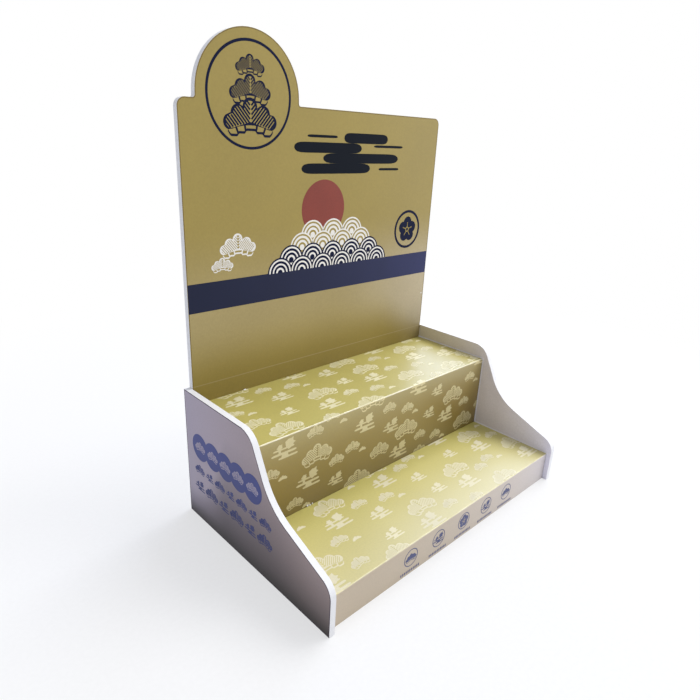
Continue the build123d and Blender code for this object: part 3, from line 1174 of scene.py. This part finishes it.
class STAND_OT_foam_crumbs(bpy.types.Operator):
    """Leaves a few crumbs of cut foam in the corners behind the shelves.

    A crumb is a lumpy ball: half sizes times 1 + lump * sin(3 a + 2 p) cos(2 p), for turn a and fall p.
    """

    bl_idname = "stand.foam_crumbs"
    bl_label = "Add Foam Crumbs"

    def execute(self, context):
        # Bare foam: white and matt, with cells that catch the light
        material, tree = blank("white_foam_crumb")
        place = add(tree, "TexCoord", out="Object")
        shade, cells = foam_colour(tree, place, context.scene.stand_colours.foam)
        pits = {"Height": cells, "Strength": 0.6, "Distance": 0.1 * MM, "Filter Width": 0.1}
        bump = add(tree, "Bump", pits)
        sockets = {"Base Color": shade, "Roughness": 0.8, "Normal": bump, "IOR": PLASTIC_IOR}
        add(tree, "OutputMaterial", (add(tree, "BsdfPrincipled", sockets),))
        rings, spokes = 9, 14
        fall = np.linspace(0, HALF_TURN, rings + 2)[1:-1, None]
        turn = np.arange(spokes)[None, :] / spokes * 2 * HALF_TURN
        lump = 1 + CRUMB_LUMP * np.sin(3 * turn + 2 * fall) * np.cos(2 * fall)
        parts = (np.sin(fall) * np.cos(turn), np.sin(fall) * np.sin(turn), np.cos(fall) * np.ones_like(turn))
        ball = np.stack([lump * part for part in parts], axis=-1).reshape(-1, 3)
        ball = np.vstack((ball, [[0, 0, 1.0]], [[0, 0, -1.0]]))
        grid = np.arange(rings * spokes).reshape(rings, spokes)
        after = np.roll(grid, -1, axis=1)
        quads = np.stack((grid[:-1], grid[1:], after[1:], after[:-1]), axis=-1).reshape(-1, 4)
        crown_cap = np.column_stack((np.full(spokes, len(ball) - 2), grid[0], after[0]))
        foot_cap = np.column_stack((np.full(spokes, len(ball) - 1), after[-1], grid[-1]))
        points = (ball[None] * CRUMBS[:, None, 3:] + CRUMBS[:, None, :3]).reshape(-1, 3) * MM
        offset = (np.arange(len(CRUMBS)) * len(ball))[:, None, None]
        faces = (quads[None] + offset).reshape(-1, 4).tolist()
        faces += (np.vstack((crown_cap, foot_cap))[None] + offset).reshape(-1, 3).tolist()
        mesh = bpy.data.meshes.new("foam_crumbs")
        mesh.from_pydata(points.tolist(), [], faces)
        mesh.materials.append(material)
        mesh.polygons.foreach_set("use_smooth", np.ones(len(mesh.polygons), bool))
        piece = bpy.data.objects.new("foam_crumbs", mesh)
        context.scene.collection.objects.link(piece)
        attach(piece, "root")
        return {"FINISHED"}


# Floor: radius in metres, and its fade to plain white by distance from the middle
FLOOR_RADIUS = 5.0
FLOOR_FADE = (0.2, 0.75, 0.6, 1.0)
# Camera: place in metres, yaw from +Y to +X, pitch and roll in degrees, lens and sensor in millimetres
CAMERA_AT = (-0.348663, -0.300585, 0.317908)
CAMERA_TURN = (44.571, -20.758, 2.86)
CAMERA_LENS, CAMERA_SENSOR, CAMERA_CLIP = 29.038, 36.0, 0.01


def seen_rays(tree):
    """1 on rays that show a thing to the eye, straight, mirrored or through glass, and 0 on all others."""
    path = add(tree, "LightPath").node.outputs
    seen = add(tree, "Math", (path["Is Camera Ray"], path["Is Glossy Ray"]), operation="MAXIMUM")
    return add(tree, "Math", (seen, path["Is Transmission Ray"]), operation="MAXIMUM")


class STAND_OT_stage(bpy.types.Operator):
    """Sets the pale floor, the soft light and the camera."""

    bl_idname = "stand.stage"
    bl_label = "Set Stage"

    def execute(self, context):
        scene = context.scene
        scene.view_settings.view_transform = "Standard"
        self.lay_floor(scene)
        self.light_room(scene)
        self.set_camera(scene)
        return {"FINISHED"}

    def lay_floor(self, scene):
        """A round sheet of matt white paper: point = radius * (cos a, sin a)."""
        points, _, triangles = star_patch(np.full(96, FLOOR_RADIUS))
        mesh = bpy.data.meshes.new("floor")
        mesh.from_pydata(np.column_stack((points, np.zeros(len(points)))).tolist(), [], triangles.tolist())
        # Paper: soft shadows near the stand, and plain white to the eye further out
        material, tree = blank("matt_white_paper")
        spot = add(tree, "TexCoord", out="Object")
        fibre = add(tree, "TexNoise", {"Vector": spot, "Scale": 1 / (3 * MM), "Detail": 2.0})
        tone = add(tree, "MapRange", (fibre, *NOISE_SPREAD, 0.78, 0.82))
        paper = add(tree, "BsdfDiffuse", {"Color": tone})
        white = add(tree, "Emission", {"Color": WHITE, "Strength": 1.0})
        away = add(tree, "VectorMath", (spot,), "Value", operation="LENGTH")
        fade = add(tree, "MapRange", (away, *FLOOR_FADE), **SOFT)
        share = add(tree, "Math", (seen_rays(tree), fade), operation="MULTIPLY")
        add(tree, "OutputMaterial", (add(tree, "MixShader", (share, paper, white)),))
        mesh.materials.append(material)
        floor = bpy.data.objects.new("floor", mesh)
        scene.collection.objects.link(floor)

    def light_room(self, scene):
        """A room that is white to the eye and in reflections and a plain level else, and three soft lamps."""
        light = scene.stand_light
        world = bpy.data.worlds.new("white_room")
        world.use_nodes = True
        tree = world.node_tree
        tree.nodes.clear()
        seen = seen_rays(tree)
        level = add(tree, "MapRange", (seen, 0.0, 1.0, light.room, 1.0))
        tint = add(tree, "Mix", {FACTOR: seen, FIRST: light.room_tint, SECOND: WHITE}, **BLEND)
        sky = add(tree, "Background", {"Color": tint, "Strength": level})
        add(tree, "OutputWorld", (sky,))
        scene.world = world
        # Lamps as name, radiance, colour, place and side in metres. Power = radiance * pi * area.
        target = Vector((0.0, 0.0, 0.09))
        lamps = (
            ("window", light.window, light.daylight, Vector((2.55, 1.11, 1.56)), 1.8),
            ("ceiling", light.ceiling, WHITE, Vector((1.5, -0.2, 2.21)), 1.6),
            ("front", light.front, WHITE, Vector((1.9, -1.9, 0.81)), 1.6),
        )
        for name, radiance, tint, stand_at, side in lamps:
            lamp = bpy.data.lights.new(name, "AREA")
            lamp.shape = "SQUARE"
            lamp.size = side
            lamp.color = tint
            lamp.energy = radiance * math.pi * side**2
            holder = bpy.data.objects.new(name, lamp)
            holder.location = stand_at
            holder.rotation_euler = (target - stand_at).to_track_quat("-Z", "Y").to_euler()
            scene.collection.objects.link(holder)

    def set_camera(self, scene):
        """The camera's axes: ahead from yaw and pitch, then right and up turned about it by the roll."""
        yaw, pitch, roll = (math.radians(angle) for angle in CAMERA_TURN)
        ahead = Vector((math.sin(yaw) * math.cos(pitch), math.cos(yaw) * math.cos(pitch), math.sin(pitch)))
        level_right = ahead.cross(Vector((0, 0, 1))).normalized()
        level_up = level_right.cross(ahead)
        right = math.cos(roll) * level_right + math.sin(roll) * level_up
        up = math.cos(roll) * level_up - math.sin(roll) * level_right
        lens = bpy.data.cameras.new("camera")
        lens.sensor_width = CAMERA_SENSOR
        lens.lens = CAMERA_LENS
        lens.clip_start = CAMERA_CLIP
        camera = bpy.data.objects.new("camera", lens)
        turn = Matrix((right, up, -ahead)).transposed().to_4x4()
        camera.matrix_world = Matrix.Translation(CAMERA_AT) @ turn
        scene.collection.objects.link(camera)
        scene.camera = camera


class STAND_PT_sidebar(bpy.types.Panel):
    """Lists the stand's operators in the order that builds it."""

    bl_idname = "STAND_PT_sidebar"
    bl_label = "Display Stand"
    bl_space_type = "VIEW_3D"
    bl_region_type = "UI"
    bl_category = "Stand"

    def draw(self, context):
        for step in STEPS:
            self.layout.operator(step.bl_idname)


STEPS = (
    STAND_OT_boards,
    STAND_OT_step_pattern,
    STAND_OT_back_print,
    STAND_OT_film_edges,
    STAND_OT_side_print,
    STAND_OT_apron_print,
    STAND_OT_foam_crumbs,
    STAND_OT_stage,
)
SETTINGS = {"stand_sizes": StandSizes, "stand_colours": StandColours, "stand_light": StandLight}


def register():
    for kind in (*SETTINGS.values(), *STEPS, STAND_PT_sidebar):
        bpy.utils.register_class(kind)
    for name, kind in SETTINGS.items():
        setattr(bpy.types.Scene, name, PointerProperty(type=kind))


def unregister():
    for name in SETTINGS:
        delattr(bpy.types.Scene, name)
    for kind in (STAND_PT_sidebar, *reversed(STEPS), *SETTINGS.values()):
        bpy.utils.unregister_class(kind)


def main():
    register()
    bpy.ops.stand.boards()
    bpy.ops.stand.step_pattern()
    bpy.ops.stand.back_print()
    bpy.ops.stand.film_edges()
    bpy.ops.stand.side_print()
    bpy.ops.stand.apron_print()
    bpy.ops.stand.foam_crumbs()
    bpy.ops.stand.stage()


if __name__ == "__main__":
    main()
